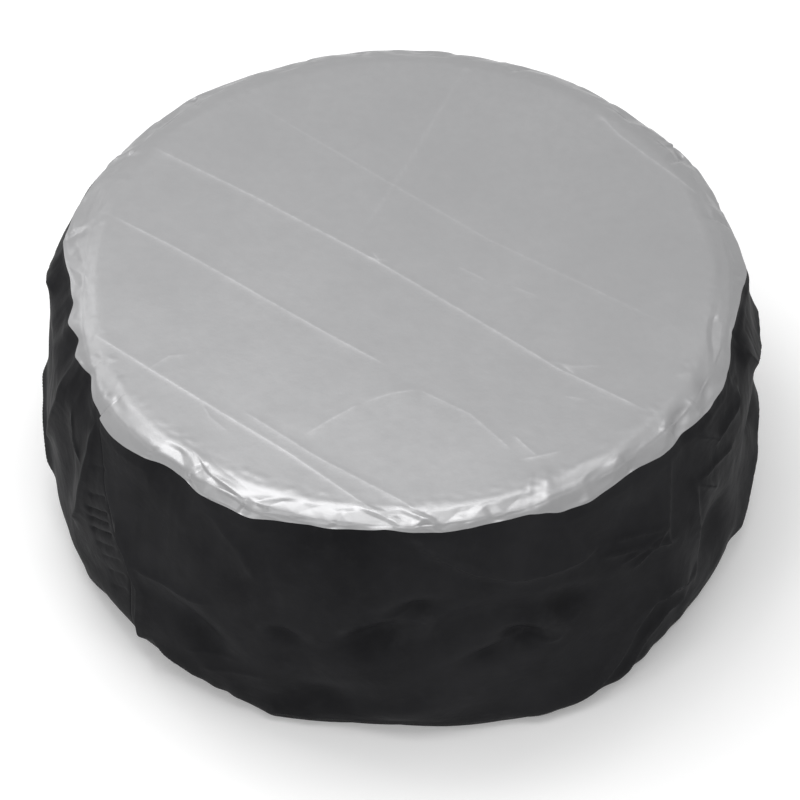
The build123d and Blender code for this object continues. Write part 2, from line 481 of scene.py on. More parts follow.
# centre (azimuth, height), size along and across in metres, depth, lean of the long axis
SKIRT_DENTS = [
    ((266, 0.40), (0.085, 0.040), 0.016, 28),
    ((272.5, 0.50), (0.060, 0.028), 0.012, 12),
    ((280, 0.44), (0.100, 0.050), 0.012, 20),
    ((289.5, 0.35), (0.060, 0.032), 0.015, -25),
    ((284, 0.31), (0.075, 0.028), 0.011, 15),
    ((296, 0.44), (0.110, 0.040), 0.009, -12),
    ((252, 0.37), (0.040, 0.022), 0.007, -20),
    ((258, 0.14), (0.120, 0.060), 0.012, 0),
    ((236, 0.26), (0.110, 0.060), 0.014, -30),
    ((227, 0.55), (0.080, 0.110), 0.008, 0),
    ((310, 0.60), (0.090, 0.060), 0.007, 0),
    ((330, 0.30), (0.080, 0.090), 0.012, 30),
    ((203, 0.44), (0.060, 0.120), 0.010, 0),
    ((52, 0.35), (0.110, 0.080), 0.013, 20),
    ((84, 0.40), (0.120, 0.060), 0.014, 10),
    ((104, 0.20), (0.090, 0.060), 0.012, -20),
    ((135, 0.42), (0.130, 0.070), 0.012, 15),
    ((162, 0.20), (0.110, 0.060), 0.014, -15),
    ((183, 0.52), (0.090, 0.070), 0.010, 25),
    ((352, 0.38), (0.110, 0.060), 0.013, -15),
    ((8, 0.22), (0.100, 0.070), 0.012, 20),
]


# ---------------------------------------------------------------- the finished surfaces

SKIRT_ROWS = 150
RIM_ROWS = 56
DISC_RINGS = COLUMNS // 16
RIPPLES_KEPT = 0.45  # share of the simulated narrow ripples that stays in the skirt
# how far the left side seam leans from its mid-height azimuth, by height
SEAM_LEAN_Z = [0.0, 0.16, 0.32, 0.38, 0.51, 0.727]
SEAM_LEAN = [4.4, 4.6, 5.0, 2.9, 0.3, -4.1]


def leaned(azimuth, z):
    """The azimuth to sample so that the side seams lean as they were sewn and pulled."""
    lean = np.interp(z, SEAM_LEAN_Z, SEAM_LEAN)
    at_left = lean * bell(turn(SIDE_SEAMS["left"], azimuth), 16)
    at_right = 0.6 * lean * bell(turn(SIDE_SEAMS["right"], azimuth), 16)
    return azimuth + at_left + at_right


def around(row, azimuth):
    """Points of one simulated row at the given azimuths."""
    return resampled(row, np.asarray(azimuth) / 360 * SIM_COLUMNS, periodic=True)


# the sewn rim seam isn't a true circle: (azimuth, how far it lies outside the even radius)
SEAM_WANDER = [
    (0, 0.008), (3, 0.015), (15, -0.004), (30, 0.008), (45, -0.006), (60, 0.004), (78, -0.005), (95, 0.004),
    (112, -0.006), (130, 0.005), (148, -0.005), (160, 0.004), (170, 0.004), (173, -0.008), (180, -0.030),
    (187, -0.041), (191.5, -0.018), (196.8, -0.038), (200.5, -0.013), (207.5, -0.031), (213.5, -0.001),
    (218.5, 0.007), (221.5, 0.015), (223.6, 0.015), (227.8, 0.005), (229.7, -0.007), (231.5, -0.012),
    (234, -0.008), (236.6, 0.006), (241, 0.010), (246, 0.015), (249, 0.008), (252.3, 0.000),
    (255.5, -0.0035), (259, -0.004), (263.5, -0.005), (267.5, -0.0115), (270, -0.0095), (273, -0.006),
    (276.4, -0.0025), (279.6, -0.0065), (284.6, -0.006), (288, -0.007), (290.5, -0.006), (292.9, 0.000),
    (294.5, 0.004), (296, 0.014), (298, 0.013), (301.4, 0.012), (303.6, 0.007), (308, 0.001),
    (312.4, -0.003), (314.3, 0.001), (316.5, 0.011), (318.8, 0.012), (322, 0.001), (326.7, 0.006),
    (329.5, 0.016), (334.5, 0.013), (341, 0.000), (347, -0.018), (351, -0.012), (356.5, -0.003),
]
# and at the front the skirt pulls it up: (azimuth, how far)
SEAM_LIFT = [
    (252, 0.000), (255.5, 0.006), (263.5, 0.009), (267.5, 0.013), (270, 0.009), (274, 0.003),
    (276.5, 0.001), (280, 0.006), (288, 0.006), (291, 0.010), (293.5, 0.006), (295, 0.000),
]
# nor is the hem: (azimuth, how far the bottom edge stands outside the even radius)
HEM_WANDER = [
    (0, 0.004), (12, 0.012), (25, -0.006), (40, 0.006), (58, 0.014), (75, -0.006), (92, 0.004),
    (110, 0.016), (128, -0.004), (145, 0.010), (162, -0.006), (180, 0.008), (195, 0.004), (206, 0.016),
    (213, -0.004), (222, 0.002), (232, -0.001), (241, 0.002), (249, 0.020), (254, 0.008), (262, -0.008),
    (270, -0.008), (278, 0.004), (287, 0.014), (294, 0.030), (304, 0.033), (310, 0.027), (318, 0.012),
    (328, 0.010), (340, 0.016), (350, -0.002),
]
# where the flat top breaks down towards the rim seam: (azimuth, radius)
TOP_EDGE = [
    (0, 0.822), (30, 0.820), (60, 0.818), (100, 0.820), (140, 0.812), (165, 0.795), (175, 0.784),
    (183, 0.786), (191, 0.794), (198, 0.804), (206, 0.818), (214, 0.833), (224, 0.840), (235, 0.841),
    (244, 0.840), (253, 0.841), (262, 0.842), (270, 0.841), (287, 0.837), (296, 0.835), (306, 0.832),
    (318, 0.829), (328, 0.834), (342, 0.825), (352, 0.822),
]


def around_table(table, azimuth):
    angles, values = np.array(table, float).T
    return np.interp(np.asarray(azimuth) % 360, angles, values, period=360)


def rim_wander(azimuth):
    """How far the sewn rim seam lies outside its even radius; where it is drawn in it also rides up."""
    a = np.radians(azimuth)
    fine = 0.0010 * np.sin(31 * a + 1.3) + 0.0008 * np.sin(53 * a + 0.4)
    spread = [around_table(SEAM_WANDER, azimuth + step) for step in (-0.6, 0.0, 0.6)]
    return sum(spread) / 3 + fine


def facets(azimuth, along, seed, spacing, lean):
    """Flat facets between straight creases that lean over the cloth, from -1 to 1 high. spacing is in degrees
    and lean in degrees for each metre along."""
    rng = np.random.default_rng(seed)
    steps = rng.uniform(0.55, 1.6, round(360 / spacing))
    corners = np.cumsum(steps) / np.sum(steps) * 360
    heights = rng.uniform(0.35, 1.0, len(steps)) * np.where(np.arange(len(steps)) % 2, 1, -1)
    return np.interp((azimuth + lean * along) % 360, corners, heights, period=360)


def rim_puckers(azimuth, inwards, share):
    """Outward relief of the gathered band above the rim seam; inwards is the distance from the seam, and share
    is that as a share of the gathered width."""
    azimuth = azimuth + 0 * inwards
    band = smooth(0.0, 0.3, share) * smooth(1.1, 0.75, share)
    gathered = 0.55 + 0.45 * np.sin(np.radians(azimuth) * 3 + 1.9)
    relief = 0.0026 * facets(azimuth, inwards, 3, 3.6, 90) * gathered
    relief = relief + 0.0028 * facets(azimuth, inwards, 8, 5.5, -110)
    smoother = 0.9 * bell(turn(SMOOTHEST_RIM, azimuth), 24) + 0.7 * bell(turn(SMOOTH_RIM_RIGHT, azimuth), 20)
    relief = relief * band * (1 - smoother)
    past_seam = smooth(0.0, 0.005, inwards)
    for path, height, near, far in RIM_TUCKS:
        u, path = unrolled(azimuth, path, SEAM_RADIUS)
        relief = relief + tuck(u, inwards, path, height, near, far) * past_seam
    for (a, d), size, depth, lean in RIM_DENTS:
        u = turn(a, azimuth) * math.radians(SEAM_RADIUS)
        relief = relief + dent(u, inwards - d, size, depth, lean) * past_seam
    return relief


# points (azimuth, distance in from the seam), height, width of the facet on the left and the right of the path
RIM_TUCKS = [
    ([(172.0, -0.02), (168.0, 0.060)], -0.0035, 0.014, 0.026),
    ([(226.5, -0.02), (228.5, 0.025)], -0.0035, 0.010, 0.018),
    # the step and the long fold that runs along the front left of the rim
    ([(234.0, -0.03), (235.5, 0.030), (236.5, 0.060)], -0.0060, 0.008, 0.030),
    ([(232.5, 0.062), (235.5, 0.050), (240.0, 0.037), (244.5, 0.024), (250.0, 0.011), (256.0, -0.010)],
     0.0042, 0.026, 0.005),
    ([(236.5, 0.003), (241.0, 0.004), (245.5, 0.005)], 0.0060, 0.020, 0.006),
    ([(243.8, -0.02), (245.0, 0.035)], -0.0055, 0.008, 0.020),
    ([(258.0, -0.02), (261.0, 0.035)], -0.0030, 0.012, 0.026),
    # the crumple where two creases of the top meet the rim
    ([(262.0, 0.055), (266.5, 0.034), (269.5, 0.015), (272.0, -0.012)], 0.0040, 0.016, 0.009),
    ([(269.5, 0.055), (272.5, 0.036), (275.0, 0.015), (277.5, -0.012)], 0.0040, 0.014, 0.009),
    ([(271.5, 0.004), (273.5, 0.022), (276.0, 0.024)], 0.0040, 0.012, 0.010),
    ([(286.5, -0.02), (284.0, 0.040)], -0.0030, 0.014, 0.022),
    # the upright fold, front right
    ([(293.4, -0.03), (294.6, 0.030), (297.4, 0.120)], 0.0032, 0.026, 0.036),
    ([(292.2, 0.045), (293.0, 0.070), (295.0, 0.110)], 0.0009, 0.010, 0.008),
    ([(301.0, -0.02), (301.5, 0.050)], 0.0035, 0.026, 0.018),
    ([(309.5, -0.02), (310.5, 0.045)], -0.0045, 0.012, 0.030),
    # the deep puckers on the right
    ([(319.3, 0.045), (320.3, 0.020), (320.0, -0.01)], 0.0040, 0.008, 0.012),
    ([(326.4, -0.01), (327.6, 0.020), (327.4, 0.050)], 0.0035, 0.008, 0.008),
    ([(335.5, 0.030), (342.0, 0.048), (352.0, 0.048)], -0.0040, 0.014, 0.022),
    ([(352.0, -0.02), (347.0, 0.070)], 0.0040, 0.020, 0.024),
    ([(12.0, -0.02), (15.0, 0.070)], -0.0050, 0.014, 0.030),
    ([(35.0, -0.02), (31.0, 0.070)], -0.0055, 0.012, 0.030),
    ([(66.0, -0.02), (69.0, 0.070)], -0.0050, 0.014, 0.030),
    ([(98.0, -0.02), (95.0, 0.060)], -0.0045, 0.012, 0.028),
    ([(128.0, -0.02), (131.0, 0.070)], -0.0050, 0.014, 0.030),
    ([(150.0, -0.02), (146.0, 0.060)], 0.0045, 0.024, 0.018),
]


# soft hollows: (azimuth, distance in from the seam), size along and across, depth, lean of the long axis
RIM_DENTS = [
    ((323.4, 0.026), (0.036, 0.015), 0.0080, 18),
    ((331.6, 0.030), (0.042, 0.017), 0.0095, 18),
    ((305.5, 0.020), (0.034, 0.014), 0.0035, -12),
    ((46.0, 0.026), (0.040, 0.016), 0.0070, -15),
    ((82.0, 0.028), (0.036, 0.016), 0.0065, 12),
    ((137.0, 0.026), (0.040, 0.015), 0.0070, 15),
]


def calmed(rows):
    """Keeps the broad shape that the cloth settled into, and part of its narrow ripples."""
    radius, _ = polar(rows)
    waves_around = np.fft.rfft(radius, axis=1)
    kept = np.where(np.arange(waves_around.shape[1]) <= 16, 1.0, RIPPLES_KEPT)
    even = np.fft.irfft(waves_around * kept, n=radius.shape[1], axis=1)
    rows = rows.copy()
    rows[..., :2] *= (even / radius)[..., None]
    return rows


def finish_skirt(grid, s, seam_row, azimuth):
    """The outer skirt: rows from the hem up to the rim seam, each of COLUMNS points."""
    places = np.linspace(0, seam_row, SKIRT_ROWS)
    rough = calmed(resampled(grid[: seam_row + 1], places))
    lengths_up = np.interp(places, np.arange(seam_row + 1), s[: seam_row + 1])
    points, lengths, _ = fitted_profile()
    even_r, even_z = at_length(points, lengths, lengths_up)
    low_r, low_z = np.array(arc_from_upright((WALL_RADIUS, GATHER_Z), (HEM_RADIUS - 0.002, 0.0))).T[:, ::-1]
    even_r = np.where(even_z < GATHER_Z, np.interp(even_z, low_z, low_r), even_r)
    even = revolved(even_r, even_z, np.arange(SIM_COLUMNS) / SIM_COLUMNS * TAU)
    sim_azimuth = np.arange(SIM_COLUMNS) / SIM_COLUMNS * 360
    stray = 0.5 * (polar(rough[0])[0] - HEM_RADIUS) + around_table(HEM_WANDER, sim_azimuth)
    even[..., :2] *= (1 + stray / HEM_RADIUS * smooth(0.20, 0.02, lengths_up)[:, None])[..., None]
    drawn_in = smooth(0.16, 0.04, lengths_up)[:, None, None]
    rough = rough + (even - rough) * drawn_in
    here = np.stack([leaned(azimuth, h) for h in rough[..., 2].mean(1)])
    skirt = np.stack([around(row, at) for row, at in zip(rough, here)])
    normal = grid_normals(skirt)
    span = lengths_up[:, None]
    relief = skirt_relief(here, skirt[..., 2])
    relief *= smooth(0.0, 0.10, span) * (1 - 0.75 * smooth(s[seam_row] - 0.07, s[seam_row], span))
    gathers = np.sin(np.radians(azimuth) * 58 + 1.6 * np.sin(np.radians(azimuth) * 9))
    gathers = gathers * (0.55 + 0.45 * np.sin(np.radians(azimuth) * 6 + 0.7))
    relief += 0.0020 * gathers * smooth(0.0, 0.025, span) * smooth(0.15, 0.05, span)
    for seam in SIDE_SEAMS.values():
        off = turn(seam, azimuth)[None] * math.radians(WALL_RADIUS)
        relief -= 0.0060 * np.exp(-np.abs(off) / 0.0030)
        lapped, under = 0.0045 * np.exp(-np.abs(off) / 0.030), -0.0010 * np.exp(-np.abs(off) / 0.020)
        relief += np.where(off > 0, lapped, under)
    skirt += normal * relief[..., None]
    wander = rim_wander(azimuth)
    near_rim = smooth(s[seam_row] - 0.13, s[seam_row], span) ** 1.4
    skirt += (wander * near_rim)[..., None] * heading(np.radians(azimuth))
    skirt[..., 2] += (around_table(SEAM_LIFT, azimuth) - 0.35 * wander) * near_rim
    skirt[..., 2] = np.maximum(skirt[..., 2], 0.001)
    skirt[0, :, 2] = 0.001
    return skirt


def finish_rim(grid, s, seam_row, azimuth, seam_points):
    """Rows of the top: from the rim seam up the gathered band, over the edge and in to the flat."""
    last = len(s) - 1
    along = np.linspace(0, 1, RIM_ROWS) ** 1.1
    places = (last - seam_row) * along
    rough = resampled(grid[seam_row:], places)
    loose = np.stack([around(row, azimuth) for row in rough])[..., 2]
    inner_part = smooth(0.0, 0.08, along) * smooth(1.0, 0.6, along)
    loose = (loose - loose.mean(1, keepdims=True)) * inner_part[:, None]
    seam_r, angle = polar(seam_points)
    flat_z = COVER_HEIGHT - CLOTH
    edge = around_table(TOP_EDGE, azimuth) + 0.0015 * np.sin(np.radians(azimuth) * 19)
    edge = np.minimum(edge, seam_r - NARROWEST_BAND)
    r = seam_r + (HELD_RADIUS - seam_r) * along[:, None]
    shoulder = np.minimum(SHOULDER, edge - HELD_RADIUS - 0.004)
    eased = SHOULDER_SLOPE * shoulder * (1 - SHOULDER_TURN / 2)
    slope = (flat_z - eased - seam_points[:, 2]) / (seam_r - edge)
    past = EDGE_SOFTNESS * np.log1p(np.exp(np.minimum((r - edge) / EDGE_SOFTNESS, 30)))
    onto = np.clip((r - edge) / shoulder + 1, 0, 1)
    sunk = np.where(onto < SHOULDER_TURN, onto**2 / (2 * SHOULDER_TURN), onto - SHOULDER_TURN / 2)
    z = flat_z - SHOULDER_SLOPE * shoulder * sunk - slope * past + loose * 0.6
    z[0] = seam_points[:, 2]
    rim = np.stack([r * np.cos(angle), r * np.sin(angle), z], -1)
    inwards = (seam_r - r) * np.sqrt(1 + slope**2 * (r > edge))
    rim[1:] += (grid_normals(rim) * rim_puckers(azimuth, inwards, inwards / FACET_WIDTH)[..., None])[1:]
    rim[0] = seam_points
    rim[-1, :, 2] = flat_z
    return rim


def top_mesh(rim, azimuth):
    """Vertices and faces of the whole top: the rim rows, then rings of a square grid wrapped to a disc, with
    one column for every two of the rim."""
    vertices = list(rim.reshape(-1, 3))
    faces = grid_faces(RIM_ROWS, COLUMNS)
    inner = rim[-1]
    flat_z = COVER_HEIGHT - CLOTH
    edge = {}
    half = DISC_RINGS

    def ring_index(i, j):
        """Place around square ring number max(|i|, |j|), counted from its first corner, and the ring."""
        ring = max(abs(i), abs(j))
        if ring == 0:
            return 0, 0
        if i == ring and j < ring:
            return j + ring, ring
        if j == ring and i > -ring:
            return 2 * ring + (ring - i), ring
        if i == -ring and j > -ring:
            return 4 * ring + (ring - j), ring
        return 6 * ring + (i + ring), ring

    for i in range(-half, half + 1):
        for j in range(-half, half + 1):
            place, ring = ring_index(i, j)
            if ring == half:
                edge[i, j] = (RIM_ROWS - 1) * COLUMNS + 2 * place
                continue
            edge[i, j] = len(vertices)
            if ring == 0:
                vertices.append(np.array([0, 0, flat_z]))
                continue
            out = ring / half
            sewn = inner[int(round(2 * place / ring * half)) % COLUMNS]
            even = azimuth[0] + 360 * place / (8 * ring)
            own = math.degrees(math.atan2(sewn[1], sewn[0]))
            angle = math.radians(even + float(turn(even, own)) * out**6)
            radius = out * (HELD_RADIUS + (math.hypot(*sewn[:2]) - HELD_RADIUS) * out**8)
            vertices.append(np.array([radius * math.cos(angle), radius * math.sin(angle), flat_z]))
    for i in range(-half, half):
        for j in range(-half, half):
            corners = [(i, j), (i + 1, j), (i + 1, j + 1), (i, j + 1)]
            face = []
            for corner, following in zip(corners, corners[1:] + corners[:1]):
                face.append(edge[corner])
                (place, ring), (next_place, next_ring) = ring_index(*corner), ring_index(*following)
                if ring == half and next_ring == half:
                    lower = min(place, next_place) if abs(place - next_place) == 1 else 8 * half - 1
                    face.append((RIM_ROWS - 1) * COLUMNS + 2 * lower + 1)
            faces.append(face)
    return np.array(vertices), faces


# creases left by folding for the box: points (x, y), height of the crest, how it falls off on each side, taper
TOP_CREASES = [
    ([(-0.650, 0.455), (-0.349, 0.247), (-0.063, 0.033), (0.147, -0.141), (0.386, -0.344), (0.612, -0.495)],
     0.0019, 0.006, 0.010, 0.06),
    ([(-0.742, 0.204), (-0.549, 0.068), (-0.371, -0.072), (-0.196, -0.209), (-0.020, -0.340)],
     0.0018, 0.006, 0.010, 0.10),
    ([(-0.755, -0.218), (-0.605, -0.343), (-0.481, -0.443), (-0.261, -0.620), (-0.071, -0.793),
      (-0.015, -0.836)], 0.0015, 0.018, 0.006, 0.04),
    ([(-0.384, -0.475), (-0.190, -0.636), (0.0, -0.768), (0.070, -0.828)], 0.0017, 0.008, 0.014, 0.10),
    ([(-0.434, 0.657), (-0.090, 0.364), (0.224, 0.103), (0.730, -0.243)], 0.0007, 0.008, 0.012, 0.20),
    ([(0.500, 0.575), (0.528, 0.543), (0.564, 0.486), (0.662, 0.375), (0.758, 0.267)],
     0.0016, 0.007, 0.012, 0.10),
    ([(0.183, 0.774), (0.025, 0.393), (-0.125, 0.068)], -0.0006, 0.014, 0.030, 0.25),
    ([(-0.226, -0.560), (-0.160, -0.505), (-0.096, -0.459)], 0.0015, 0.006, 0.020, 0.15),
    ([(-0.096, -0.459), (-0.020, -0.425), (0.055, -0.410)], 0.0016, 0.020, 0.050, 0.30),
    ([(0.040, -0.408), (0.167, -0.492), (0.272, -0.617)], 0.0015, 0.007, 0.022, 0.15),
    ([(0.265, -0.555), (0.331, -0.636)], 0.0016, 0.006, 0.010, 0.25),
    ([(0.285, -0.640), (0.331, -0.628), (0.385, -0.612)], 0.0014, 0.006, 0.008, 0.25),
    ([(-0.092, 0.050), (-0.060, 0.035), (-0.028, 0.034)], 0.0012, 0.005, 0.006, 0.30),
    ([(-0.070, 0.060), (-0.056, 0.036), (-0.052, 0.008)], -0.0011, 0.005, 0.006, 0.30),
    ([(0.392, -0.330), (0.424, -0.364)], -0.0013, 0.005, 0.008, 0.30),
    ([(0.396, -0.433), (0.446, -0.444)], 0.0008, 0.004, 0.007, 0.30),
    ([(0.136, 0.015), (0.222, -0.044)], 0.0007, 0.004, 0.007, 0.30),
    ([(0.271, -0.055), (0.344, -0.097)], 0.0007, 0.004, 0.007, 0.30),
    ([(0.340, -0.310), (0.420, -0.335), (0.500, -0.330)], 0.0010, 0.006, 0.012, 0.30),
    ([(-0.610, -0.345), (-0.560, -0.300), (-0.500, -0.290)], 0.0010, 0.006, 0.012, 0.30),
    ([(-0.480, -0.440), (-0.455, -0.500), (-0.400, -0.560)], 0.0010, 0.006, 0.012, 0.30),
]
CREASE_STRENGTH = 0.5
CREASE_CUTS = (0.0, 0.002, -0.002, 0.005, -0.005, 0.010, -0.010)  # edges along a crease, by distance


def cut_creases(piece):
    """Adds edges along each crease, so that its crest is sharp."""
    mesh = bmesh.new()
    mesh.from_mesh(piece.data)
    faces = list(mesh.faces)
    centres = np.array([face.calc_center_median()[:2] for face in faces])
    for path, height, *_ in TOP_CREASES:
        if abs(height) < 0.0007:
            continue
        for start, end in zip(path[:-1], path[1:]):
            start, end = np.array(start), np.array(end)
            span = np.linalg.norm(end - start)
            along = (end - start) / span
            side = np.array([-along[1], along[0]])
            gap = centres - start
            near = (np.abs(gap @ side) < 0.018) & (gap @ along > -0.006) & (gap @ along < span + 0.006)
            near &= np.hypot(*centres.T) < SEAM_RADIUS - 0.030
            chosen = [faces[i] for i in np.flatnonzero(near)]
            parts = {part for face in chosen for part in (*face.edges, *face.verts)} | set(chosen)
            for off in CREASE_CUTS:
                on, across = Vector((*(start + side * off), 0)), Vector((*side, 0))
                cut = bmesh.ops.bisect_plane(mesh, geom=list(parts), dist=1e-5, plane_co=on, plane_no=across)
                parts = set(cut["geom"])
            made = [part for part in parts if isinstance(part, bmesh.types.BMFace)]
            kept = [i for i, face in enumerate(faces) if not near[i]]
            faces = [faces[i] for i in kept] + made
            centres = np.concatenate([centres[kept], [face.calc_center_median()[:2] for face in made]])
    mesh.to_mesh(piece.data)
    mesh.free()
    piece.data.polygons.foreach_set("use_smooth", [True] * len(piece.data.polygons))
    piece.data.update()


def crease_top(piece):
    """Raises the creases and the slight unevenness of the slack cloth on the top."""
    co = coordinates(piece.data)
    x, y = co[:, 0], co[:, 1]
    r = np.hypot(x, y)
    relief = np.zeros(len(co))
    for path, height, near, far, taper in TOP_CREASES:
        relief += stroke(x, y, path, CREASE_STRENGTH * height, near, far, taper)
    broad = np.sin(9 * x + 5 * y + 1) * np.sin(7 * y - 4 * x)
    fine = np.sin(17 * x - 9 * y + 2) * np.sin(13 * y + 6 * x + 4)
    relief += 0.0004 * (broad + fine)
    relief *= smooth(SEAM_RADIUS - 0.004, SEAM_RADIUS - 0.030, r)
    co[:, 2] += relief - 0.0012 * smooth(0.80, 0.70, r)
    co[:, 2] = np.minimum(co[:, 2], COVER_HEIGHT + 0.004)
    piece.data.vertices.foreach_set("co", co.reshape(-1))
    piece.data.update()


# the seams, the hem and what is sewn inside them
TAPE_DEPTH = 0.0020  # inside the outer face of the cloth
STITCH_DEPTH = 0.0028
STITCH_PITCH = 0.005
SEAM_STITCH = 0.0042  # length of a stitch
HEM_STITCH = 0.0040
THREAD_RADIUS = 0.0005
SIDE_TAPE_REACH = 0.013  # to each side of a side seam
SIDE_STITCHES_AT = 0.008
HEM_STITCHES_Z = 0.036
ELASTIC_DEPTHS = (0.0014, 0.0032)  # its outer and inner face, inside the skirt
ELASTIC_HEIGHTS = (0.007, 0.032)  # its edges, up the cloth from the bottom
SPLICE_DEPTHS = (0.0032, 0.0046)
SPLICE_HEIGHTS = (0.008, 0.031)
SPLICE_REACH = 0.020  # to each side of its middle


def inside_row(skirt, along, depth):
    """Points inside the skirt's lower edge: along metres up the cloth from the bottom and depth inside it."""
    lower = skirt[:14]
    spans = np.linalg.norm(np.diff(lower, axis=0), axis=-1).mean(1)
    place = np.interp(along, running_total(spans), np.arange(14))
    low = min(int(place), 12)
    points = lower[low] + (lower[low + 1] - lower[low]) * (place - low)
    points = points - unit(points * np.array([1, 1, 0])) * depth
    points[:, 2] = np.maximum(points[:, 2], 0.0012)
    return points


def hem_rows(skirt):
    """Rows from the top of the turned-up hem down to the bottom edge: the inside of the elastic's tunnel."""
    fold = ((0.039, 0.0050), (0.030, 0.0058), (0.018, 0.0062), (0.007, 0.0058), (0.0, 0.0035))
    return np.stack([inside_row(skirt, along, depth) for along, depth in fold])


def tunnel_band(skirt, outer, inner, low, high):
    """Rows of points round a band in the tunnel, from outer to inner inside the skirt and from low to high up
    the cloth, and the length round its section at each row."""
    heights = np.linspace(low, high, 6)
    section = [(outer, h) for h in heights] + [(inner, h) for h in heights[::-1]] + [(outer, low)]
    rows = np.stack([inside_row(skirt, h, depth) for depth, h in section])[::-1]
    return rows, running_total(np.linalg.norm(np.diff(section, axis=0), axis=-1))


def set_uv(piece, uv):
    """Per-vertex UV coordinates in metres, so that a weave has its true size."""
    mesh = piece.data
    layer = mesh.uv_layers.new(name="weave")
    loops = np.zeros(len(mesh.loops), int)
    mesh.loops.foreach_get("vertex_index", loops)
    layer.data.foreach_set("uv", np.asarray(uv)[loops].reshape(-1))


def strip_object(name, rows, columns_uv, rows_uv, material):
    """An open sheet made of rows of points, with its UV in metres."""
    count, width = rows.shape[:2]
    piece = mesh_object(name, rows, grid_faces(count, width, closed=False))
    uv = np.stack(np.broadcast_arrays(np.asarray(columns_uv)[None, :], np.asarray(rows_uv)[:, None]), -1)
    set_uv(piece, uv.reshape(-1, 2))
    piece.data.materials.append(material)
    return piece


def stitch_row(points, normals, length):
    """Vertices and faces of a row of stitches along a path, each a short bowed tube lying on the cloth."""
    total = running_total(np.linalg.norm(np.diff(points, axis=0), axis=1))
    count = int(total[-1] / STITCH_PITCH)
    vertices, faces = [], []
    sides = 5
    ring_angles = np.arange(sides) / sides * TAU
    for k in range(count):
        begin = (k + 0.5) * total[-1] / count - length / 2
        at = begin + np.array([0.0, 0.25, 0.75, 1.0]) * length
        centre = np.stack([np.interp(at, total, points[:, c]) for c in range(3)], -1)
        up = unit(np.stack([np.interp(at, total, normals[:, c]) for c in range(3)], -1))
        along = unit(np.gradient(centre, axis=0))
        across = unit(np.cross(along, up))
        lift = np.array([-0.6, 0.7, 0.7, -0.6])[:, None] * THREAD_RADIUS
        size = np.array([0.7, 1.0, 1.0, 0.7])[:, None, None] * THREAD_RADIUS
        ring = across[:, None] * np.cos(ring_angles)[:, None] + up[:, None] * np.sin(ring_angles)[:, None]
        tube = (centre + up * lift)[:, None] + ring * size
        offset = k * 4 * sides
        vertices.append(tube.reshape(-1, 3))
        faces += grid_faces(4, sides, offset=offset)
        faces.append(list(range(offset, offset + sides))[::-1])
        faces.append(list(range(offset + 3 * sides, offset + 4 * sides)))
    return np.concatenate(vertices), faces


def stitched(name, rows, length, material):
    """One piece made of several rows of stitches; rows is a list of (points, normals)."""
    vertices, faces = [], []
    for points, normals in rows:
        v, f = stitch_row(points, normals, length)
        offset = sum(len(x) for x in vertices)
        faces += [[i + offset for i in face] for face in f]
        vertices.append(v)
    piece = mesh_object(name, np.concatenate(vertices), faces)
    piece.data.materials.append(material)
    return piece


# ---------------------------------------------------------------- materials


class Material:
    """A Principled material with short helpers for its nodes."""

    def __init__(self, name, **sockets):
        self.material = bpy.data.materials.new(name)
        self.material.use_nodes = True
        self.tree = self.material.node_tree
        self.shader = self.tree.nodes["Principled BSDF"]
        for socket, value in sockets.items():
            self.shader.inputs[socket.replace("_", " ")].default_value = value
        self.where = self.tree.nodes.new("ShaderNodeTexCoord")

    def node(self, kind, **settings):
        node = self.tree.nodes.new("ShaderNode" + kind)
        for key, value in settings.items():
            if hasattr(node, key):
                setattr(node, key, value)
            else:
                node.inputs[key.replace("_", " ")].default_value = value
        return node

    def link(self, source, target):
        self.tree.links.new(source, target)

    def noise(self, scale, detail=3.0, roughness=0.5, distortion=0.0):
        node = self.node("TexNoise", Scale=scale, Detail=detail, Roughness=roughness, Distortion=distortion)
        self.link(self.where.outputs["Object"], node.inputs["Vector"])
        return node.outputs["Fac"]

    def wave(self, scale, direction):
        node = self.node("TexWave", Scale=scale, Distortion=0.4, bands_direction=direction)
        node.inputs["Detail"].default_value = 1.0
        self.link(self.where.outputs["UV"], node.inputs["Vector"])
        return node.outputs["Fac"]

    def maths(self, operation, a, b):
        node = self.node("Math", operation=operation)
        for socket, value in zip(node.inputs, (a, b)):
            if isinstance(value, (int, float)):
                socket.default_value = value
            else:
                self.link(value, socket)
        return node.outputs[0]

    def spread(self, fac, low, high, to_low, to_high):
        node = self.node("MapRange")
        self.link(fac, node.inputs["Value"])
        for socket, value in zip(("From Min", "From Max", "To Min", "To Max"), (low, high, to_low, to_high)):
            node.inputs[socket].default_value = value
        return node.outputs["Result"]

    def blend(self, fac, first, second):
        node = self.node("Mix", data_type="RGBA")
        for socket, value in ((node.inputs[0], fac), (node.inputs[6], first), (node.inputs[7], second)):
            if hasattr(value, "is_output"):
                self.link(value, socket)
            else:
                socket.default_value = (*value, 1) if hasattr(value, "__len__") else value
        return node.outputs[2]

    def bumps(self, *layers):
        """Stacks bump layers of (height, strength, distance in metres)."""
        normal = None
        for height, strength, distance in layers:
            node = self.node("Bump")
            node.inputs["Strength"].default_value = strength
            node.inputs["Distance"].default_value = distance
            self.link(height, node.inputs["Height"])
            if normal:
                self.link(normal, node.inputs["Normal"])
            normal = node.outputs["Normal"]
        self.link(normal, self.shader.inputs["Normal"])


def woven(m, threads_per_metre):
    """Height of a plain weave over the UV, which is in metres."""
    across = m.wave(threads_per_metre / 20, "X")
    along = m.wave(threads_per_metre / 20, "Y")
    return m.maths("MAXIMUM", across, along)


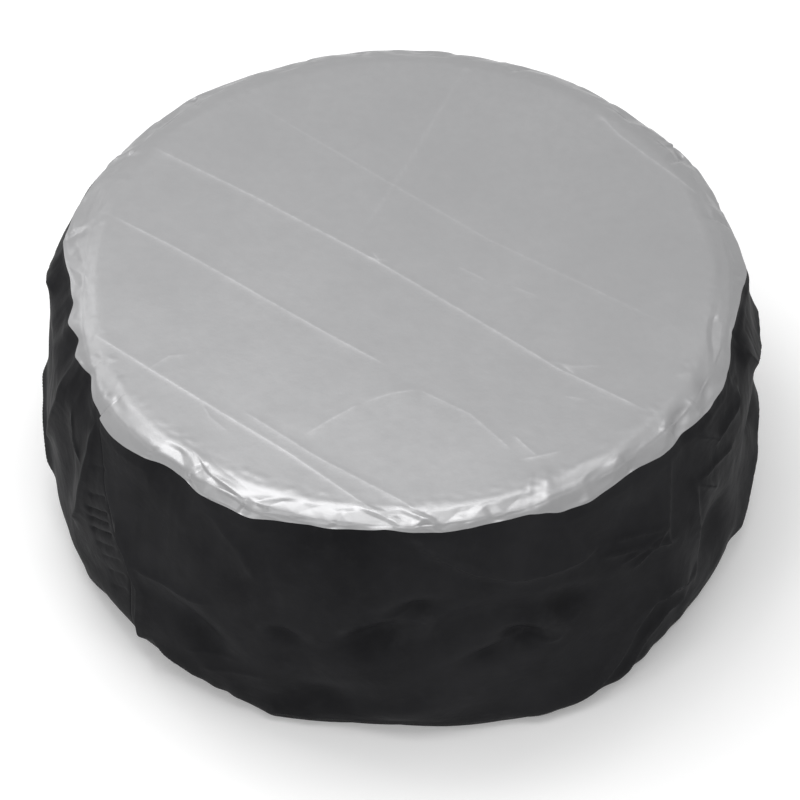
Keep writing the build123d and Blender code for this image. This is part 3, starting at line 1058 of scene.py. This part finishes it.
def silver_cloth():
    """Woven cloth with a thin silver-grey coating: a soft metallic shine, and pale lines along the creases,
    partly rubbed coating and partly painted highlight.
    """
    m = Material("silver_cloth", Metallic=0.42, Roughness=0.37)
    m.shader.inputs["Specular IOR Level"].default_value = 0.5
    cloudy = m.spread(m.noise(2.2, 4, 0.55), 0.3, 0.7, 0.0, 1.0)
    base = m.blend(cloudy, (0.350, 0.350, 0.356), (0.380, 0.380, 0.386))
    mottled = m.spread(m.noise(38, 5, 0.6), 0.35, 0.65, 0.0, 0.35)
    base = m.blend(mottled, base, (0.335, 0.336, 0.342))
    # painted highlight: the thin pale lines along the creases stand for light caught on their crests as well
    # as for rubbed coating
    wear_and_highlight = m.node("Attribute", attribute_name="wear_and_highlight")
    base = m.blend(m.maths("MULTIPLY", wear_and_highlight.outputs["Fac"], m.spread(m.noise(60, 4), 0.3, 0.7, 0.3, 0.9)),
                   base, (0.56, 0.56, 0.57))
    m.link(base, m.shader.inputs["Base Color"])
    m.link(m.spread(m.noise(14, 5, 0.6), 0.3, 0.7, 0.345, 0.395), m.shader.inputs["Roughness"])
    m.bumps((m.noise(9, 3, 0.5), 0.25, 0.004), (m.noise(46, 5, 0.65), 0.20, 0.0016),
            (m.noise(170, 4, 0.6), 0.16, 0.0006), (woven(m, 1500), 0.10, 0.00012))
    return m.material


def black_cloth():
    """Matt black woven polyester with a slight nap, a little grey on the fold crests, partly rubbed and partly
    painted highlight.
    """
    m = Material("black_cloth", Roughness=0.50)
    m.shader.inputs["Specular IOR Level"].default_value = 0.02
    cloudy = m.spread(m.noise(3.0, 4, 0.6), 0.3, 0.7, 0.0, 1.0)
    base = m.blend(cloudy, (0.0118, 0.0118, 0.0129), (0.0230, 0.0230, 0.0247))
    dusty = m.spread(m.noise(26, 6, 0.65), 0.50, 0.78, 0.0, 0.35)
    base = m.blend(dusty, base, (0.026, 0.026, 0.028))
    # painted highlight: greys the fold crests, standing for light caught on them as well as for rubbing
    wear_and_highlight = m.node("Attribute", attribute_name="wear_and_highlight")
    base = m.blend(m.maths("MULTIPLY", wear_and_highlight.outputs["Fac"], m.spread(m.noise(45, 4), 0.3, 0.7, 0.2, 0.8)),
                   base, (0.0235, 0.0235, 0.0250))
    m.link(base, m.shader.inputs["Base Color"])
    m.link(m.spread(m.noise(11, 5, 0.6), 0.3, 0.7, 0.46, 0.58), m.shader.inputs["Roughness"])
    m.bumps(
        (m.noise(7, 4, 0.55, 0.6), 0.40, 0.012),
        (m.noise(34, 4, 0.6), 0.24, 0.0030),
        (woven(m, 1300), 0.16, 0.00018),
    )
    return m.material


def woven_band(name, dark, light, roughness, threads):
    """Tape or elastic: ribs across its width."""
    m = Material(name, Roughness=roughness)
    m.shader.inputs["Specular IOR Level"].default_value = 0.3
    rib = m.wave(threads / 20, "X")
    base = m.blend(m.spread(rib, 0.2, 0.8, 0.0, 1.0), dark, light)
    soiled = m.spread(m.noise(18, 5, 0.6), 0.4, 0.7, 0.0, 0.3)
    m.link(m.blend(soiled, base, tuple(0.7 * c for c in light)), m.shader.inputs["Base Color"])
    m.bumps((rib, 0.35, 0.0003), (m.noise(900, 3), 0.2, 0.0001))
    return m.material


def thread_material(name, dark, light):
    """Twisted polyester thread."""
    m = Material(name, Roughness=0.45)
    m.link(m.blend(m.noise(160, 3), dark, light), m.shader.inputs["Base Color"])
    m.bumps((m.noise(2600, 2), 0.3, 0.0002))
    return m.material


def floor_material():
    """Pale paper sweep, lit a little from within so that it stays pale beside the cover."""
    m = Material("pale_floor", Roughness=0.80)
    pale = m.blend(m.noise(0.8, 3), (0.90, 0.90, 0.90), (0.93, 0.93, 0.93))
    m.link(pale, m.shader.inputs["Base Color"])
    m.shader.inputs["Specular IOR Level"].default_value = 0.10
    m.link(pale, m.shader.inputs["Emission Color"])
    m.shader.inputs["Emission Strength"].default_value = 0.20
    return m.material


# ---------------------------------------------------------------- assembly


def add_wear_and_highlight(piece, amount):
    # stores the mask of the painted highlights on creases and fold crests, which also stand for wear
    layer = piece.data.attributes.new("wear_and_highlight", "FLOAT", "POINT")
    layer.data.foreach_set("value", np.clip(np.asarray(amount, float), 0, 1).reshape(-1))


def closed(rows, axis=0):
    """Points with the first one again at the end."""
    return np.append(rows, np.take(rows, [0], axis), axis)


def closed_band(name, rows, along, up, material):
    """A thin woven band around the cover, made of rows of points, with its UV in metres."""
    along = np.append(along, along[-1] + (along[1] - along[0]))
    return strip_object(name, closed(rows, 1), along, up, material)


def build_top(rim, azimuth, material):
    """The silver top, creased, with its creases painted paler, partly rubbed coating and partly painted
    highlight.
    """
    vertices, faces = top_mesh(rim, azimuth)
    top = mesh_object("cover_top", vertices, faces)
    cut_creases(top)
    crease_top(top)
    x, y, _ = coordinates(top.data).T
    set_uv(top, np.stack([x, y], -1))
    # painted highlight along each crease's crest, also standing for rubbed coating
    wear_and_highlight = np.zeros(len(x))
    for path, height, *_, taper in TOP_CREASES:
        wear_and_highlight += stroke(x, y, path, min(abs(height) / 0.003, 0.8), 0.0035, 0.0035, taper)
    add_wear_and_highlight(top, wear_and_highlight)
    top.data.materials.append(material)
    return top


def build_skirt(skirt, around_length, material):
    """The front and the back panel, with the bottom edge folded up inside, painted paler where they stand
    proud: partly wear, partly painted highlight on the fold crests.
    """
    whole = closed(np.concatenate([hem_rows(skirt), skirt]), 1)
    up_length = running_total(np.linalg.norm(np.diff(whole, axis=0), axis=-1).mean(1))
    proud = np.linalg.norm(whole[..., :2], axis=-1)
    # painted highlight on the fold crests, where the cloth stands proud of its neighbours, also standing for
    # rubbing
    worn_and_highlit = smooth(0.0012, 0.0045, proud - 0.25 * sum(np.roll(proud, step, 1) for step in (-9, -5, 5, 9)))
    panels = []
    for name, part in (("skirt_front", slice(0, HALF + 1)), ("skirt_back", slice(HALF, None))):
        panel = strip_object(name, whole[:, part], around_length[part], up_length, material)
        add_wear_and_highlight(panel, worn_and_highlit[:, part])
        panels.append(panel)
    return panels


def build_rim_seam(skirt, rim, around_length, tape, thread):
    """The tape and the stitches inside the rim seam."""
    joined = np.concatenate([skirt, rim[1:]])
    outward = grid_normals(joined)
    at = len(skirt) - 1
    taped = (joined - outward * TAPE_DEPTH)[at - 3 : at + 6]
    up = running_total(np.linalg.norm(np.diff(taped, axis=0), axis=-1).mean(1))
    rim_tape = closed_band("rim_tape", taped, around_length[:-1], up, tape)
    sewn = joined - outward * STITCH_DEPTH
    rows = [(closed(sewn[row]), closed(-outward[row])) for row in (at - 1, at + 3)]
    return rim_tape, stitched("rim_stitches", rows, SEAM_STITCH, thread)


def build_side_seam(name, column, skirt, normals, spacing, tape, thread):
    """The tape and the stitches inside one side seam, which is at that column of the skirt."""
    reach, sewn_at = round(SIDE_TAPE_REACH / spacing), round(SIDE_STITCHES_AT / spacing)
    columns = np.arange(column - reach, column + reach + 1) % COLUMNS
    wall, normals = skirt[7:-4], normals[7:-4]
    points = (wall - normals * TAPE_DEPTH)[:, columns]
    up = points[:, reach, 2] - points[0, reach, 2]
    strip = strip_object(f"side_tape_{name}", points, np.arange(-reach, reach + 1) * spacing, up, tape)
    sewn = wall - normals * STITCH_DEPTH
    rows = [(sewn[:, at % COLUMNS], -normals[:, at % COLUMNS]) for at in (column - sewn_at, column + sewn_at)]
    return strip, stitched(f"side_stitches_{name}", rows, SEAM_STITCH, thread)


def build_hem(skirt, normals, azimuth, around_length, spacing, white, thread):
    """The hem's stitches, its elastic and the elastic's splice."""
    row = int(np.argmin(np.abs(skirt[..., 2].mean(1) - HEM_STITCHES_Z)))
    path = skirt[row] + normals[row] * CLOTH / 2
    stitches = stitched("hem_stitches", [(closed(path), closed(normals[row]))], HEM_STITCH, thread)
    rows, up = tunnel_band(skirt, *ELASTIC_DEPTHS, *ELASTIC_HEIGHTS)
    elastic = closed_band("hem_band", rows, around_length[:-1], up, white)
    centre = sum(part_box("elastic_splice"), Vector()) / 2
    off = turn(math.degrees(math.atan2(centre.y, centre.x)), azimuth)
    columns = np.flatnonzero(np.abs(off) < math.degrees(SPLICE_REACH / HEM_RADIUS))
    columns = columns[np.argsort(off[columns])]
    rows, up = tunnel_band(skirt, *SPLICE_DEPTHS, *SPLICE_HEIGHTS)
    splice = strip_object("band_splice", rows[:, columns], np.arange(len(columns)) * spacing * 3, up, white)
    return stitches, elastic, splice


def build_cover():
    grid, s, seam_length = drape()
    seam_row = int(np.argmin(np.abs(s - seam_length)))
    azimuth = column_azimuths()
    skirt = finish_skirt(grid, s, seam_row, azimuth)
    rim = finish_rim(grid, s, seam_row, azimuth, skirt[-1])
    normals = grid_normals(skirt)
    around_length = np.radians(np.append(azimuth, azimuth[0] + 360) - azimuth[0]) * WALL_RADIUS
    spacing = math.radians(azimuth[1] - azimuth[0]) * WALL_RADIUS
    silver, black = silver_cloth(), black_cloth()
    tape = woven_band("black_tape", (0.016, 0.016, 0.018), (0.030, 0.030, 0.033), 0.62, 700)
    thread = thread_material("black_thread", (0.014, 0.014, 0.016), (0.040, 0.040, 0.043))
    white = woven_band("white_elastic", (0.55, 0.55, 0.53), (0.74, 0.74, 0.71), 0.6, 900)
    top = build_top(rim, azimuth, silver)
    front, back = build_skirt(skirt, around_length, black)
    rim_tape, rim_stitches = build_rim_seam(skirt, rim, around_length, tape, thread)
    left = build_side_seam("left", 0, skirt, normals, spacing, tape, thread)
    right = build_side_seam("right", HALF, skirt, normals, spacing, tape, thread)
    hem_stitches, elastic, splice = build_hem(skirt, normals, azimuth, around_length, spacing, white, thread)

    for piece, node, slot in (
        (top, "top_panel", "silver_cloth"),
        (front, "skirt_front_panel", "black_cloth"),
        (back, "skirt_back_panel", "black_cloth"),
        (rim_tape, "rim_seam_tape", "black_tape"),
        (rim_stitches, "rim_seam_thread", "black_thread"),
        (left[0], "side_seam_tape_left", "black_tape"),
        (left[1], "side_seam_thread_left", "black_thread"),
        (right[0], "side_seam_tape_right", "black_tape"),
        (right[1], "side_seam_thread_right", "black_thread"),
        (hem_stitches, "hem_thread", "black_thread"),
        (elastic, "hem_elastic", "white_elastic"),
        (splice, "elastic_splice", "white_elastic"),
    ):
        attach(piece, BODY)
        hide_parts(node)


# ---------------------------------------------------------------- stage


def add_light(name, place, aim, size, power):
    light = bpy.data.lights.new(name, "AREA")
    light.shape = "RECTANGLE"
    light.size, light.size_y = size
    light.energy = power
    lamp = bpy.data.objects.new(name, light)
    lamp.location = place
    lamp.rotation_euler = (Vector(aim) - Vector(place)).to_track_quat("-Z", "Y").to_euler()
    bpy.context.scene.collection.objects.link(lamp)
    return lamp


def build_stage():
    floor = mesh_object("floor", *flat_square(40.0))
    floor.data.materials.append(floor_material())
    world = bpy.data.worlds.new("studio")
    world.use_nodes = True
    world.node_tree.nodes["Background"].inputs["Color"].default_value = (1, 1, 1, 1)
    world.node_tree.nodes["Background"].inputs["Strength"].default_value = 0.575
    bpy.context.scene.world = world
    add_light("overhead", (-1.0, 0.55, 4.6), (0, 0, 0.7), (2.0, 2.2), 82)
    add_light("overhead_right", (0.85, 0.55, 4.6), (0, 0, 0.7), (1.2, 1.6), 20)
    add_light("back_left", (-2.4, 2.0, 2.7), (-0.6, 0, 0.75), (0.8, 0.8), 7)
    add_light("front_top", (-0.1, -1.8, 4.6), (0, 0, 0.7), (2.8, 1.3), 38)
    add_light("front_left", (-1.7, -2.9, 2.3), (-0.4, -0.6, 0.65), (1.4, 0.9), 9)


def build_camera():
    """The camera at the photo's angle: from the front, well above the cover, with a long lens."""
    elevation, distance, field = math.radians(46.7), 9.715, math.radians(12.0)
    centre = Vector((0, 0, COVER_HEIGHT / 2))
    back = Vector((0, -math.cos(elevation), math.sin(elevation)))
    up = Vector((0, math.sin(elevation), math.cos(elevation)))
    aim = centre - up * 0.0656
    camera = bpy.data.cameras.new("camera")
    camera.sensor_width = 36
    camera.lens = 18 / math.tan(field / 2)
    holder = bpy.data.objects.new("camera", camera)
    holder.location = aim + back * distance
    holder.rotation_euler = (-back).to_track_quat("-Z", "Y").to_euler()
    bpy.context.scene.collection.objects.link(holder)
    bpy.context.scene.camera = holder


build_cover()
build_stage()
build_camera()
bpy.context.scene.view_settings.view_transform = "Standard"
